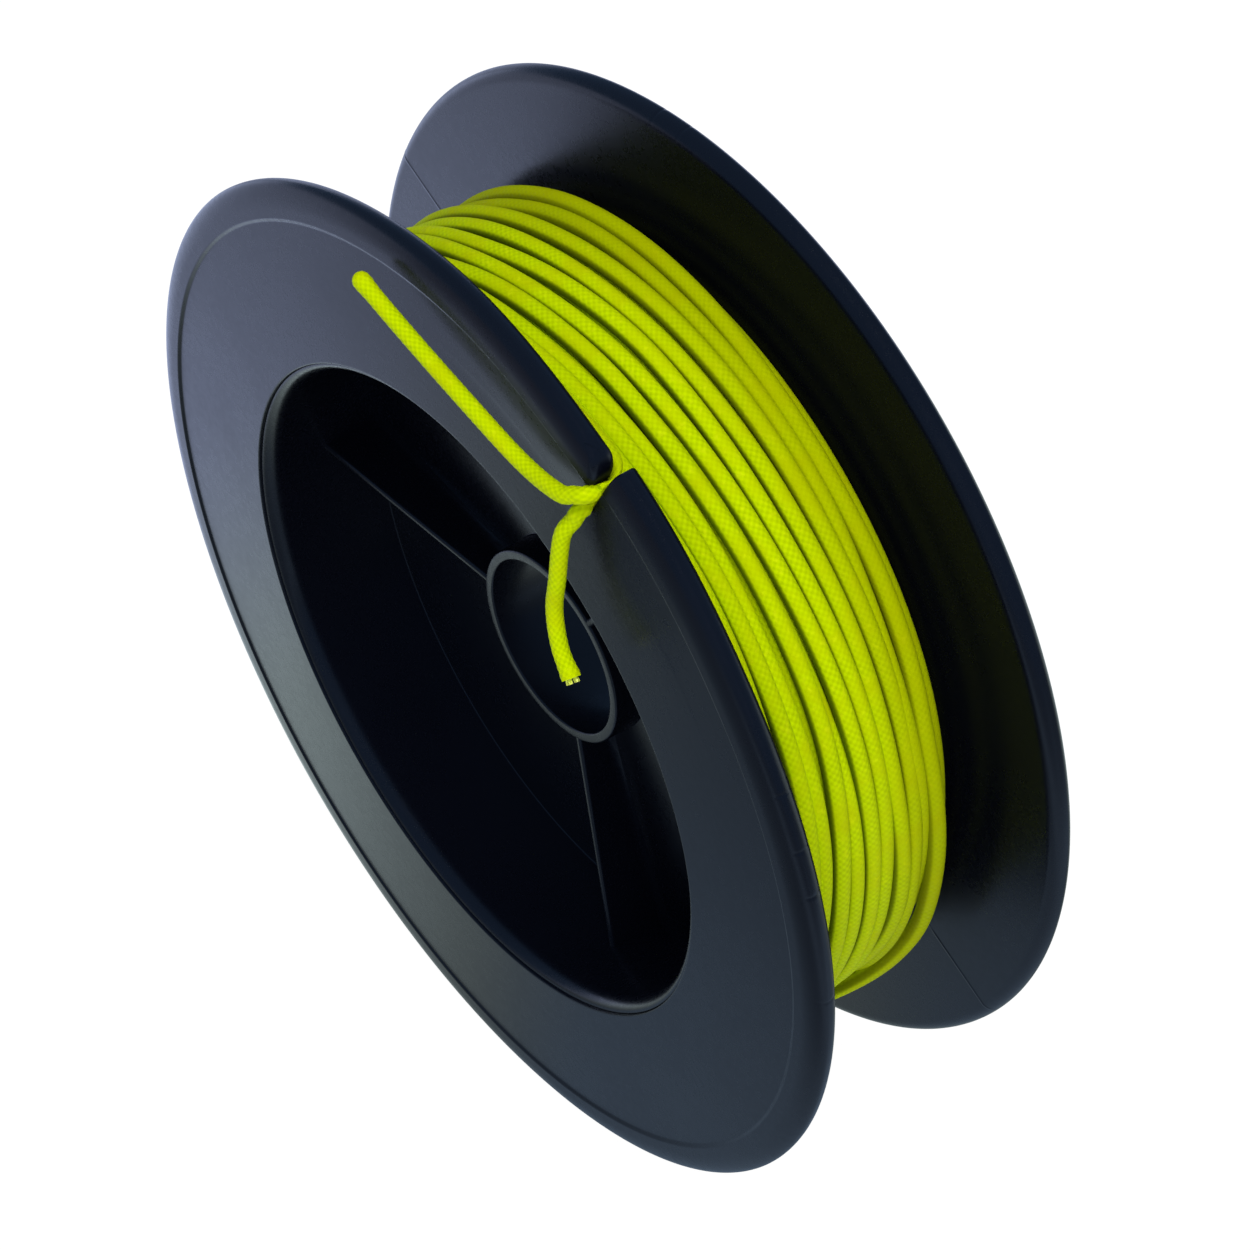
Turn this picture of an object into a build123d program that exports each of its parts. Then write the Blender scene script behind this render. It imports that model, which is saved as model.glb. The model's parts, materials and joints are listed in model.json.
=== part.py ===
"""Plastic spool of thick braided fishing line, standing on its two rims.

The spool turns about the Y axis. The flange that carries the line slit faces -Y,
and +Z is up. The origin is on the axis of the hub bore, halfway along it.
"""
from build123d import *
from math import cos, radians, sin
import os

os.makedirs("parts", exist_ok=True)

# ---- Driving dimensions, in millimetres ----
flange_radius = 56.0
overall_width = 32.2
line_diameter = 2.0
bore_radius = 10.0
tube_wall = 1.2
barrel_inner_radius = 35.8
line_layers = 4
turns_per_layer = 13
slit_angle = 64.0
fit_gap = 0.02

# ---- Flanges ----
flange_thickness = 2.5
rim_edge_plane = 14.85
face_recess = 0.25
rim_band_width = 3.6
rim_band_radius = flange_radius - rim_band_width
rim_round = 2.6
rim_back_round = 1.4
face_plane = overall_width / 2 - face_recess
inner_plane = face_plane - flange_thickness

# ---- Core: a barrel, a web across its middle, and a hub tube held by ribs ----
spigot_radius = barrel_inner_radius + tube_wall
barrel_step = 0.6
barrel_radius = spigot_radius + barrel_step
lip_recess = 0.3
lip_depth = 2.0
core_end_plane = face_plane - lip_recess
web_thickness = 2.0
web_overlap = 0.5
tube_length = 9.5
tube_radius = bore_radius + tube_wall
rib_count = 3
rib_angle = 54.0
rib_thickness = 0.9
rib_rise = 3.4

# ---- Wound line ----
line_radius = line_diameter / 2
layer_pitch = line_diameter * cos(radians(30))
layer_gap = 0.04
flange_gap = 0.1
ridge_height = 0.3
wound_end = inner_plane - flange_gap
layer_setback = 0.82
wound_radius = barrel_radius + (line_layers - 1) * layer_pitch + line_diameter

# ---- Slit in the front rim, and where the line's two ends leave it ----
slit_width = 1.1
slit_end_radius = 47.4
slit_corner_large = 3.0
slit_corner_small = 0.8
long_exit_radius = 52.0
short_exit_radius = 49.0
long_exit_height = 1.9
short_exit_height = 1.1
pinched_width = 0.8
pinched_height = 2.4
cut_overshoot = 1.5

# ---- Leads: where each leaves the wound line, and how it climbs to the slit ----
long_lead_angle = 92.0
short_lead_angle = 44.0
lead_flange_clearance = 0.3
lead_wound_clearance = 0.5
lead_top_gap = 0.1
lead_climb = 1.5
lead_middle_turn = 3.0
lead_middle_climb = 0.4
lead_height = flange_thickness + line_radius + lead_flange_clearance
lead_start_depth = lead_height + lead_climb
lead_start_radius = wound_radius + line_radius + lead_wound_clearance
long_lead_top = long_exit_height - line_radius - lead_top_gap

# ---- Free ends of the line ----
bend_length = 3.2
bend_end_gap = 0.05
long_heading = 202.0
short_heading = 256.0
short_pivot_height = 2.2
core_yarn_radius = 0.5
sheath_wall = 0.45
core_yarn_proud = 0.5


def point_on_flange(radius, angle, height=0.0):
    """A point standing clear of the front flange's outer face by the given height."""
    return Vector(radius * cos(radians(angle)), -face_plane - height, radius * sin(radians(angle)))


def off_face(across, height, up):
    """A point given across and up, standing clear of the front flange's outer face."""
    return Vector(across, -face_plane - height, up)


def heading(angle):
    """A level direction along the front face, at an angle up from +X."""
    return Vector(cos(radians(angle)), 0, sin(radians(angle)))


def flange_section(side):
    """Half section of one flange, in radius and axial position, for side -1 or +1."""
    rim_plane = side * overall_width / 2
    edge_plane = side * rim_edge_plane
    with BuildSketch() as section:
        with BuildLine():
            EllipticalCenterArc(
                (flange_radius - rim_round, edge_plane),
                rim_round,
                overall_width / 2 - rim_edge_plane,
                arc_size=side * 90,
            )
            EllipticalCenterArc(
                (flange_radius - rim_back_round, edge_plane),
                rim_back_round,
                rim_edge_plane - inner_plane,
                arc_size=-side * 90,
            )
            Polyline(
                (flange_radius - rim_back_round, side * inner_plane),
                (spigot_radius, side * inner_plane),
                (spigot_radius, side * face_plane),
                (rim_band_radius - face_recess, side * face_plane),
                (rim_band_radius, rim_plane),
                (flange_radius - rim_round, rim_plane),
            )
        make_face()
    return section.sketch


def wound_section(index):
    """Half section of one wound layer: flat below, with one rounded ridge for each turn."""
    foot = barrel_radius + index * layer_pitch + layer_gap
    is_top = index == line_layers - 1
    crest = wound_radius if is_top else foot + layer_pitch - layer_gap
    valley = crest - ridge_height
    start = -wound_end
    end = wound_end - index * layer_setback
    pitch = (end - start) / turns_per_layer
    with BuildSketch() as section:
        with BuildLine():
            for turn in range(turns_per_layer):
                low = start + turn * pitch
                ThreePointArc((valley, low), (crest, low + pitch / 2), (valley, low + pitch))
            Polyline((valley, end), (foot, end), (foot, start), (valley, start))
        make_face()
    return section.sketch


# ======== Rear flange ========
with BuildPart() as rear_flange:
    with BuildSketch(Plane.XY):
        add(flange_section(1))
    revolve(axis=Axis.Y)
rear_flange.part.label = "rear_flange"
export_step(rear_flange.part, "parts/rear_flange.step")

# ======== Front flange, with the slit that holds the line's ends ========
slit_plane = Plane(
    origin=(0, 0, 0),
    x_dir=heading(slit_angle),
    z_dir=(0, -1, 0),
)
with BuildPart() as front_flange:
    with BuildSketch(Plane.XY):
        add(flange_section(-1))
    revolve(axis=Axis.Y)
    with BuildSketch(slit_plane.offset(inner_plane - cut_overshoot)):
        half_slit = slit_width / 2
        past_rim = flange_radius + cut_overshoot
        with BuildLine():
            Line((past_rim, half_slit + slit_corner_large), (flange_radius, half_slit + slit_corner_large))
            RadiusArc(
                (flange_radius, half_slit + slit_corner_large),
                (flange_radius - slit_corner_large, half_slit),
                slit_corner_large,
            )
            Line((flange_radius - slit_corner_large, half_slit), (slit_end_radius + half_slit, half_slit))
            ThreePointArc(
                (slit_end_radius + half_slit, half_slit),
                (slit_end_radius, 0),
                (slit_end_radius + half_slit, -half_slit),
            )
            Line((slit_end_radius + half_slit, -half_slit), (flange_radius - slit_corner_small, -half_slit))
            RadiusArc(
                (flange_radius - slit_corner_small, -half_slit),
                (flange_radius, -half_slit - slit_corner_small),
                slit_corner_small,
            )
            Polyline(
                (flange_radius, -half_slit - slit_corner_small),
                (past_rim, -half_slit - slit_corner_small),
                (past_rim, half_slit + slit_corner_large),
            )
        make_face()
    extrude(amount=flange_thickness + 2 * cut_overshoot, mode=Mode.SUBTRACT)
front_flange.part.label = "front_flange"
export_step(front_flange.part, "parts/front_flange.step")

# ======== Core ========
with BuildPart() as core:
    with BuildSketch(Plane.XY):
        # Barrel wall, stepped down to a spigot at each end that the flanges sit on.
        with BuildLine():
            for side in (-1, 1):
                EllipticalCenterArc(
                    (spigot_radius - fit_gap, side * (core_end_plane - lip_depth)),
                    spigot_radius - fit_gap - barrel_inner_radius,
                    lip_depth,
                    start_angle=180,
                    arc_size=-side * 90,
                )
                Polyline(
                    (spigot_radius - fit_gap, side * core_end_plane),
                    (spigot_radius - fit_gap, side * (inner_plane - fit_gap)),
                    (barrel_radius, side * (inner_plane - fit_gap)),
                    (barrel_radius, 0),
                )
            Line(
                (barrel_inner_radius, core_end_plane - lip_depth),
                (barrel_inner_radius, lip_depth - core_end_plane),
            )
        make_face()
    revolve(axis=Axis.Y)
    # Web across the middle of the barrel.
    with BuildSketch(Plane.XZ.offset(-web_thickness / 2)):
        Circle(barrel_inner_radius + web_overlap)
        Circle(bore_radius, mode=Mode.SUBTRACT)
    extrude(amount=web_thickness)
    # Hub tube, open from end to end.
    with BuildSketch(Plane.XZ.offset(-tube_length / 2)):
        Circle(tube_radius)
        Circle(bore_radius, mode=Mode.SUBTRACT)
    extrude(amount=tube_length)
    # Ribs, level with the tube's ends at the hub and rising towards the barrel.
    for index in range(rib_count):
        angle = rib_angle + index * 360 / rib_count
        rib_plane = Plane(
            origin=(0, 0, 0),
            x_dir=heading(angle),
            z_dir=heading(angle + 90),
        )
        with BuildSketch(rib_plane):
            hub_side = tube_radius - tube_wall / 2
            barrel_side = barrel_inner_radius + tube_wall / 2
            Polygon(
                (hub_side, -tube_length / 2),
                (hub_side, tube_length / 2),
                (barrel_side, tube_length / 2 + rib_rise),
                (barrel_side, -tube_length / 2 - rib_rise),
                align=None,
            )
        extrude(amount=rib_thickness / 2, both=True)
core.part.label = "core"
export_step(core.part, "parts/core.step")

# ======== Wound line, one node for each layer ========
with BuildPart() as line_layer_1:
    with BuildSketch(Plane.XY):
        add(wound_section(0))
    revolve(axis=Axis.Y)
line_layer_1.part.label = "line_layer_1"
export_step(line_layer_1.part, "parts/line_layer_1.step")

with BuildPart() as line_layer_2:
    with BuildSketch(Plane.XY):
        add(wound_section(1))
    revolve(axis=Axis.Y)
line_layer_2.part.label = "line_layer_2"
export_step(line_layer_2.part, "parts/line_layer_2.step")

with BuildPart() as line_layer_3:
    with BuildSketch(Plane.XY):
        add(wound_section(2))
    revolve(axis=Axis.Y)
line_layer_3.part.label = "line_layer_3"
export_step(line_layer_3.part, "parts/line_layer_3.step")

with BuildPart() as line_layer_4:
    with BuildSketch(Plane.XY):
        add(wound_section(3))
    revolve(axis=Axis.Y)
line_layer_4.part.label = "line_layer_4"
export_step(line_layer_4.part, "parts/line_layer_4.step")

# ======== Leads: from the wound line up to the slit, then pinched flat inside it ========
def lead_path(exit_radius, start_angle):
    """A curve from the top of the wound line to the slit's inner side."""
    middle_angle = (start_angle + slit_angle) / 2 + lead_middle_turn
    middle_radius = lead_start_radius + lead_middle_climb
    return [
        point_on_flange(lead_start_radius, start_angle, -lead_start_depth),
        point_on_flange(middle_radius, middle_angle, lead_middle_climb - lead_start_depth),
        point_on_flange(exit_radius, slit_angle, -lead_height),
    ]


def pinched_plane(exit_radius):
    """Plane on the front face, with x along the slit, at one end's place in the slit."""
    return Plane(
        origin=point_on_flange(exit_radius, slit_angle),
        x_dir=heading(slit_angle),
        z_dir=(0, -1, 0),
    )


with BuildPart() as long_lead:
    with BuildLine() as long_lead_line:
        Spline(*lead_path(long_exit_radius, long_lead_angle))
    with BuildSketch(Plane(long_lead_line.line @ 0, z_dir=long_lead_line.line % 0)):
        Circle(line_radius)
    sweep()
    with BuildSketch(pinched_plane(long_exit_radius).offset(long_lead_top)):
        SlotOverall(pinched_height, pinched_width)
    extrude(amount=-lead_height - long_lead_top)
long_lead.part.label = "long_lead"
export_step(long_lead.part, "parts/long_lead.step")

with BuildPart() as short_lead:
    with BuildLine() as short_lead_line:
        Spline(*lead_path(short_exit_radius, short_lead_angle))
    with BuildSketch(Plane(short_lead_line.line @ 0, z_dir=short_lead_line.line % 0)):
        Circle(line_radius)
    sweep()
    with BuildSketch(pinched_plane(short_exit_radius)):
        SlotOverall(pinched_height, pinched_width)
    extrude(amount=-lead_height)
short_lead.part.label = "short_lead"
export_step(short_lead.part, "parts/short_lead.step")

# ======== Bends: the first stretch of each free end, turning about the slit's exit ========
long_exit = point_on_flange(long_exit_radius, slit_angle, long_exit_height)
long_direction = heading(long_heading)
long_pivot = long_exit + long_direction * bend_length

short_exit = point_on_flange(short_exit_radius, slit_angle, short_exit_height)
short_pivot = short_exit + bend_length * heading(short_heading)
short_pivot -= Vector(0, short_pivot_height - short_exit_height, 0)
short_direction = (short_pivot - short_exit).normalized()

with BuildPart() as long_tail_bend:
    with BuildSketch(Plane(long_exit, z_dir=long_direction)):
        Circle(line_radius)
    extrude(amount=bend_length - line_radius - bend_end_gap)
    with Locations(long_exit):
        Sphere(line_radius)
long_tail_bend.part.label = "long_tail_bend"
export_step(long_tail_bend.part, "parts/long_tail_bend.step")

with BuildPart() as short_tail_bend:
    with BuildSketch(Plane(short_exit, z_dir=short_direction)):
        Circle(line_radius)
    extrude(amount=(short_pivot - short_exit).length - line_radius - bend_end_gap)
    with Locations(short_exit):
        Sphere(line_radius)
short_tail_bend.part.label = "short_tail_bend"
export_step(short_tail_bend.part, "parts/short_tail_bend.step")

# ======== Free ends: a braided sheath over a core of straight yarns ========
long_points = [
    long_pivot,
    off_face(14.3, 1.8, 45.0),
    off_face(6.0, 2.1, 46.8),
    off_face(-3.0, 2.3, 48.9),
    off_face(-9.6, 2.6, 51.0),
]
short_points = [
    short_pivot,
    off_face(20.8, 2.9, 36.1),
    off_face(20.8, 3.3, 32.3),
    off_face(22.2, 3.8, 28.9),
    off_face(24.4, 4.2, 26.9),
]

with BuildPart() as long_tail_sheath:
    with BuildLine() as long_line:
        Spline(*long_points, tangents=[long_direction, (long_points[-1] - long_points[-2]).normalized()])
    with BuildSketch(Plane(long_line.line @ 0, z_dir=long_line.line % 0)):
        Circle(line_radius)
    sweep()
    with Locations(long_line.line @ 0, long_line.line @ 1):
        Sphere(line_radius)
    with BuildSketch(Plane(long_line.line @ 0, z_dir=long_line.line % 0)):
        Circle(line_radius - sheath_wall)
    sweep(path=long_line.line, mode=Mode.SUBTRACT)
long_tail_sheath.part.label = "long_tail_sheath"
export_step(long_tail_sheath.part, "parts/long_tail_sheath.step")

with BuildPart() as long_tail_core:
    with BuildSketch(Plane(long_line.line @ 0, z_dir=long_line.line % 0)):
        Circle(core_yarn_radius)
    sweep(path=long_line.line)
long_tail_core.part.label = "long_tail_core"
export_step(long_tail_core.part, "parts/long_tail_core.step")

with BuildPart() as short_tail_sheath:
    with BuildLine() as short_line:
        Spline(*short_points, tangents=[short_direction, (short_points[-1] - short_points[-2]).normalized()])
    with BuildSketch(Plane(short_line.line @ 0, z_dir=short_line.line % 0)):
        Circle(line_radius)
    sweep()
    with Locations(short_line.line @ 0):
        Sphere(line_radius)
    with BuildSketch(Plane(short_line.line @ 0, z_dir=short_line.line % 0)):
        Circle(line_radius - sheath_wall)
    sweep(path=short_line.line, mode=Mode.SUBTRACT)
short_tail_sheath.part.label = "short_tail_sheath"
export_step(short_tail_sheath.part, "parts/short_tail_sheath.step")

with BuildPart() as short_tail_core:
    with BuildSketch(Plane(short_line.line @ 0, z_dir=short_line.line % 0)):
        Circle(core_yarn_radius)
    sweep(path=short_line.line)
    with BuildSketch(Plane(short_line.line @ 1, z_dir=short_line.line % 1)):
        Circle(core_yarn_radius)
    extrude(amount=core_yarn_proud)
short_tail_core.part.label = "short_tail_core"
export_step(short_tail_core.part, "parts/short_tail_core.step")
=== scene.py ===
"""How the fishing line spool looks: a moulded black spool wound with thick braided line.

Everything is placed in the frame of the CAD part. The spool turns about Y, the flange
with the slit faces -Y, and +Z is up. Shapes are worked out in millimetres and turned
into metres when their mesh is made.
"""

import json
import math

import bmesh
import bpy
import numpy as np
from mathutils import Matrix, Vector


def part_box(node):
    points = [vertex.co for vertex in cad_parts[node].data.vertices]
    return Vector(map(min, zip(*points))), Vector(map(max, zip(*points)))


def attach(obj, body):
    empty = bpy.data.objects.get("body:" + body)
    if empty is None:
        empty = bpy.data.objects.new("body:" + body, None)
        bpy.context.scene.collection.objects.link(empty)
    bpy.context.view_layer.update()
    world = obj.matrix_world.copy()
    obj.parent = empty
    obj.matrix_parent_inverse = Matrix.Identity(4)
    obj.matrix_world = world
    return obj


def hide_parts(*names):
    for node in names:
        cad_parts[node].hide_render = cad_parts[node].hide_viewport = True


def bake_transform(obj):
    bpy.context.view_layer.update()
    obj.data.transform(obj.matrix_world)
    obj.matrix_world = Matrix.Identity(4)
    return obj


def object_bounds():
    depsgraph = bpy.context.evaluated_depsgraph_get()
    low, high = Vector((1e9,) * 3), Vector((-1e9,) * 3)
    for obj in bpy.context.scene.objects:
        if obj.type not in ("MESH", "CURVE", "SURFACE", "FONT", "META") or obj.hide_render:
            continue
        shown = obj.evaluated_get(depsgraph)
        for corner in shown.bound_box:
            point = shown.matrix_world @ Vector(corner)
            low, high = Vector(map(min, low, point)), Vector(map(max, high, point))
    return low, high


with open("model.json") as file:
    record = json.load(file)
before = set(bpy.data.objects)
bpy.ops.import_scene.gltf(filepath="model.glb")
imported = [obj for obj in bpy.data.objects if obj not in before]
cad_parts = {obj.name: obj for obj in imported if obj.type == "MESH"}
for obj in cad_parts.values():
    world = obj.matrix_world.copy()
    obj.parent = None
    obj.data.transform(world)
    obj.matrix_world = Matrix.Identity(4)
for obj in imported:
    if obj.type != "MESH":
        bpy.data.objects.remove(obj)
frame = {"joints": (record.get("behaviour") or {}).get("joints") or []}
cad_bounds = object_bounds()

MM = 0.001
TURN = 2 * math.pi
random = np.random.default_rng(7)
joints = {joint["name"]: joint for joint in frame["joints"]}


# ======== Sizes, in millimetres ========
def reach(node, corner, axis):
    """One coordinate of a CAD node's box: corner 0 is its lowest and 1 its highest."""
    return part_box(node)[corner][axis] / MM


FLANGE_RADIUS = reach("rear_flange", 1, 0)
HALF_WIDTH = reach("rear_flange", 1, 1)
INNER_PLANE = reach("rear_flange", 0, 1)
BARREL_RADIUS = reach("core", 1, 0)
CORE_END = reach("core", 1, 1)
WOUND_RADIUS = reach("line_layer_4", 1, 0)

FACE_RECESS = 0.25
FACE_PLANE = HALF_WIDTH - FACE_RECESS
SPIGOT_RADIUS = 37.0
BORE_WALL_RADIUS = 35.8
BAND_RADIUS = 52.4
RIM_APEX = 14.85
RIM_ROUND = 2.6
RIM_BACK_ROUND = 1.4
BORE_RADIUS = 10.0
TUBE_RADIUS = 11.2
TUBE_HALF = 4.75
WEB_HALF = 1.0

SLIT_HALF = 0.45
SLIT_END = 47.4
LINE_RADIUS = 1.0
TURNS = 13
LAYERS = 4
LAYER_STEP = 1.732
OUTER_LINE_RADIUS = 0.97
TAIL_RADIUS = 0.8
LINE_GAP = 0.1

# How the outer layer lies: each turn's place along Y where it passes these angles, and
# how far some of them sink below their neighbours or ride over them.
OUTER_ANGLES = (110, 80, 50, 20, -10, -38)
OUTER_TURNS = (
    (-12.2, -12.2, -12.2, -12.2, -12.2, -12.2),
    (-10.6, -10.4, -10.3, -10.3, -10.5, -10.6),
    (-9.3, -8.9, -8.2, -8.5, -8.8, -9.2),
    (-8.3, -7.2, -6.4, -6.4, -7.0, -7.5),
    (-6.9, -5.5, -4.5, -4.9, -5.6, -6.2),
    (-5.0, -3.0, -2.6, -3.1, -3.0, -4.0),
    (-3.9, -2.2, -1.5, -1.2, -1.1, -1.8),
    (-2.9, -1.0, -0.2, 0.7, 1.3, 0.4),
    (-0.3, 1.4, 1.6, 2.5, 3.2, 2.4),
    (2.4, 3.5, 3.4, 4.3, 4.9, 4.3),
    (5.2, 5.5, 5.8, 6.0, 6.3, 6.0),
    (7.9, 7.8, 7.6, 7.2, 7.4, 7.6),
    (10.0, 9.8, 9.0, 8.5),
)
OUTER_LIFTS = {
    3: (0.1, 0.25, 0.3, 0.2, 0, 0),
    4: (0, -0.3, -0.7, -0.3, 0, 0.1),
    5: (-0.2, 0, 0.1, 0.15, 0.2, 0),
    6: (-1.5, -1.5, -1.2, -0.35, 0, 0.1),
    7: (0.1, -0.1, 0, 0.2, -0.1, -0.2),
    8: (0.1, 0.2, 0.2, 0, -0.35, 0.1),
    9: (-0.1, -0.35, -0.1, 0.1, 0.15, 0),
    10: (0.15, 0.2, 0.1, -0.1, 0.1, 0.2),
    11: (-0.4, -0.4, -0.3, -0.5, -0.6, -0.3),
    12: (0.2, 0, -0.2, 0.1),
}
# The last turn then rides up and crosses the others towards the slit side: angle, place
# along Y and lift.
CROSSING = (
    (0, 9.0, 0.8),
    (-18, 9.1, 1.3),
    (-29, 7.0, 1.7),
    (-42, 2.0, 1.9),
    (-58, -4.5, 2.0),
    (-80, -9.6, 1.4),
    (-115, -11.6, -0.8),
)


def pivot(joint):
    """A joint's place, in millimetres."""
    return np.array(joints[joint]["pos_m"]) / MM


SLIT_ANGLE = math.atan2(pivot("long_tail_sweep")[2], pivot("long_tail_sweep")[0])


# ======== Meshes ========
def smooth(value, low, high):
    """0 below low, 1 above high, and an S curve between them."""
    share = np.clip((value - low) / (high - low), 0, 1)
    return share * share * (3 - 2 * share)


def quarter_round(distance, size):
    """How far a rounded edge falls back, at a distance from the edge."""
    near = np.clip(1 - distance / size, 0, 1)
    return size * (1 - np.sqrt(1 - near**2))


def grid_quads(rows, columns, close_rows=False, close_columns=False):
    """Quads over a grid of vertices, and each corner's place in the grid."""
    row = np.arange(rows if close_rows else rows - 1)
    column = np.arange(columns if close_columns else columns - 1)
    row, column = [axis.ravel() for axis in np.meshgrid(row, column, indexing="ij")]
    corner_rows = np.stack([row, row, row + 1, row + 1], axis=1)
    corner_columns = np.stack([column, column + 1, column + 1, column], axis=1)
    quads = (corner_rows % rows) * columns + corner_columns % columns
    return quads, corner_rows, corner_columns


def make_object(name, points, quads, material, uv=None):
    """A smooth shaded mesh object from points in millimetres and quads."""
    mesh = bpy.data.meshes.new(name)
    mesh.vertices.add(len(points))
    mesh.vertices.foreach_set("co", (points * MM).astype(np.float32).ravel())
    mesh.loops.add(quads.size)
    mesh.loops.foreach_set("vertex_index", quads.astype(np.int32).ravel())
    mesh.polygons.add(len(quads))
    mesh.polygons.foreach_set("loop_start", np.arange(0, quads.size, 4, dtype=np.int32))
    mesh.update(calc_edges=True)
    if uv is not None:
        layer = mesh.uv_layers.new(name="along_and_around")
        layer.data.foreach_set("uv", uv.astype(np.float32).ravel())
    mesh.shade_smooth()
    mesh.materials.append(material)
    made = bpy.data.objects.new(name, mesh)
    bpy.context.scene.collection.objects.link(made)
    return made


def finish_piece(piece, body, slot, *nodes):
    """Puts a piece on its body and hides the CAD nodes it stands for. The slot is not used."""
    if body is not None:
        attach(piece, body)
    if nodes:
        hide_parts(*nodes)
    return piece


# ======== Materials ========
class Nodes:
    """Short calls for building one material's node tree."""

    def __init__(self, name):
        self.material = bpy.data.materials.new(name)
        self.material.use_nodes = True
        self.tree = self.material.node_tree
        self.shader = self.tree.nodes["Principled BSDF"]

    def add(self, kind, **settings):
        node = self.tree.nodes.new(kind)
        for name, value in settings.items():
            setattr(node, name, value)
        return node

    def link(self, value, socket):
        if hasattr(value, "is_output"):
            self.tree.links.new(value, socket)
        else:
            socket.default_value = value

    def math(self, operation, first, second=0.0):
        node = self.add("ShaderNodeMath", operation=operation)
        self.link(first, node.inputs[0])
        self.link(second, node.inputs[1])
        return node.outputs[0]

    def spread(self, value, low, high, to_low, to_high):
        node = self.add("ShaderNodeMapRange")
        for socket, given in zip(node.inputs, (value, low, high, to_low, to_high)):
            self.link(given, socket)
        return node.outputs[0]

    def ramp(self, value, low, high, to_low, to_high):
        """Like spread, but easing in and out."""
        node = self.add("ShaderNodeMapRange", interpolation_type="SMOOTHSTEP")
        for socket, given in zip(node.inputs, (value, low, high, to_low, to_high)):
            self.link(given, socket)
        return node.outputs[0]

    def choose(self, first, second, share):
        """One shader giving way to another by the given share."""
        node = self.add("ShaderNodeMixShader")
        self.link(share, node.inputs[0])
        self.link(first, node.inputs[1])
        self.link(getattr(second, "outputs", [second])[0], node.inputs[2])
        return node.outputs[0]

    def show(self, shader):
        """Makes a shader the material's surface."""
        self.link(shader, self.tree.nodes["Material Output"].inputs["Surface"])

    def mix(self, share, first, second):
        node = self.add("ShaderNodeMix", data_type="RGBA")
        self.link(share, node.inputs["Factor"])
        self.link(first, node.inputs[6])
        self.link(second, node.inputs[7])
        return node.outputs[2]

    def noise(self, vector, scale, detail=3.0):
        node = self.add("ShaderNodeTexNoise")
        self.link(vector, node.inputs["Vector"])
        node.inputs["Scale"].default_value = scale
        node.inputs["Detail"].default_value = detail
        return node.outputs["Fac"]

    def bump(self, height, strength, distance, normal=None):
        node = self.add("ShaderNodeBump")
        self.link(height, node.inputs["Height"])
        node.inputs["Strength"].default_value = strength
        node.inputs["Distance"].default_value = distance
        if normal is not None:
            self.link(normal, node.inputs["Normal"])
        return node.outputs["Normal"]

    def set(self, **inputs):
        for name, value in inputs.items():
            self.link(value, self.shader.inputs[name.replace("_", " ")])


def rgb(red, green, blue):
    """A colour given as it shows on screen, 0 to 255, as Blender's linear colour."""
    shown = [channel / 255 for channel in (red, green, blue)]
    return [c / 12.92 if c <= 0.04045 else ((c + 0.055) / 1.055) ** 2.4 for c in shown] + [1.0]


def moulded_plastic():
    """Near-black semi-gloss plastic with a faint grain, turning marks and handling haze."""
    nodes = Nodes("spool_plastic")
    place = nodes.add("ShaderNodeTexCoord").outputs["Object"]
    split = nodes.add("ShaderNodeSeparateXYZ")
    nodes.link(place, split.inputs[0])
    across = nodes.math("MULTIPLY", split.outputs[0], split.outputs[0])
    up = nodes.math("MULTIPLY", split.outputs[2], split.outputs[2])
    radius = nodes.math("SQRT", nodes.math("ADD", across, up))
    rings = nodes.add("ShaderNodeTexNoise", noise_dimensions="1D")
    nodes.link(radius, rings.inputs["W"])
    rings.inputs["Scale"].default_value = 900.0
    haze = nodes.noise(place, 45.0, 4.0)
    grain = nodes.noise(place, 5200.0, 2.0)
    pores = nodes.noise(place, 1300.0, 3.0)
    tint = nodes.mix(haze, rgb(4, 6, 14), rgb(8, 10, 19))
    roughness = nodes.spread(haze, 0.3, 0.7, 0.24, 0.31)
    roughness = nodes.math("ADD", roughness, nodes.spread(pores, 0.35, 0.65, -0.015, 0.03))
    low = nodes.bump(rings.outputs["Fac"], 0.06, 0.05 * MM)
    fine = nodes.bump(grain, 0.12, 0.02 * MM, low)
    nodes.set(Base_Color=tint, Roughness=roughness, Normal=fine, IOR=1.5)
    return nodes.material


STRANDS = 8
BRAID_PITCH = 0.75


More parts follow.
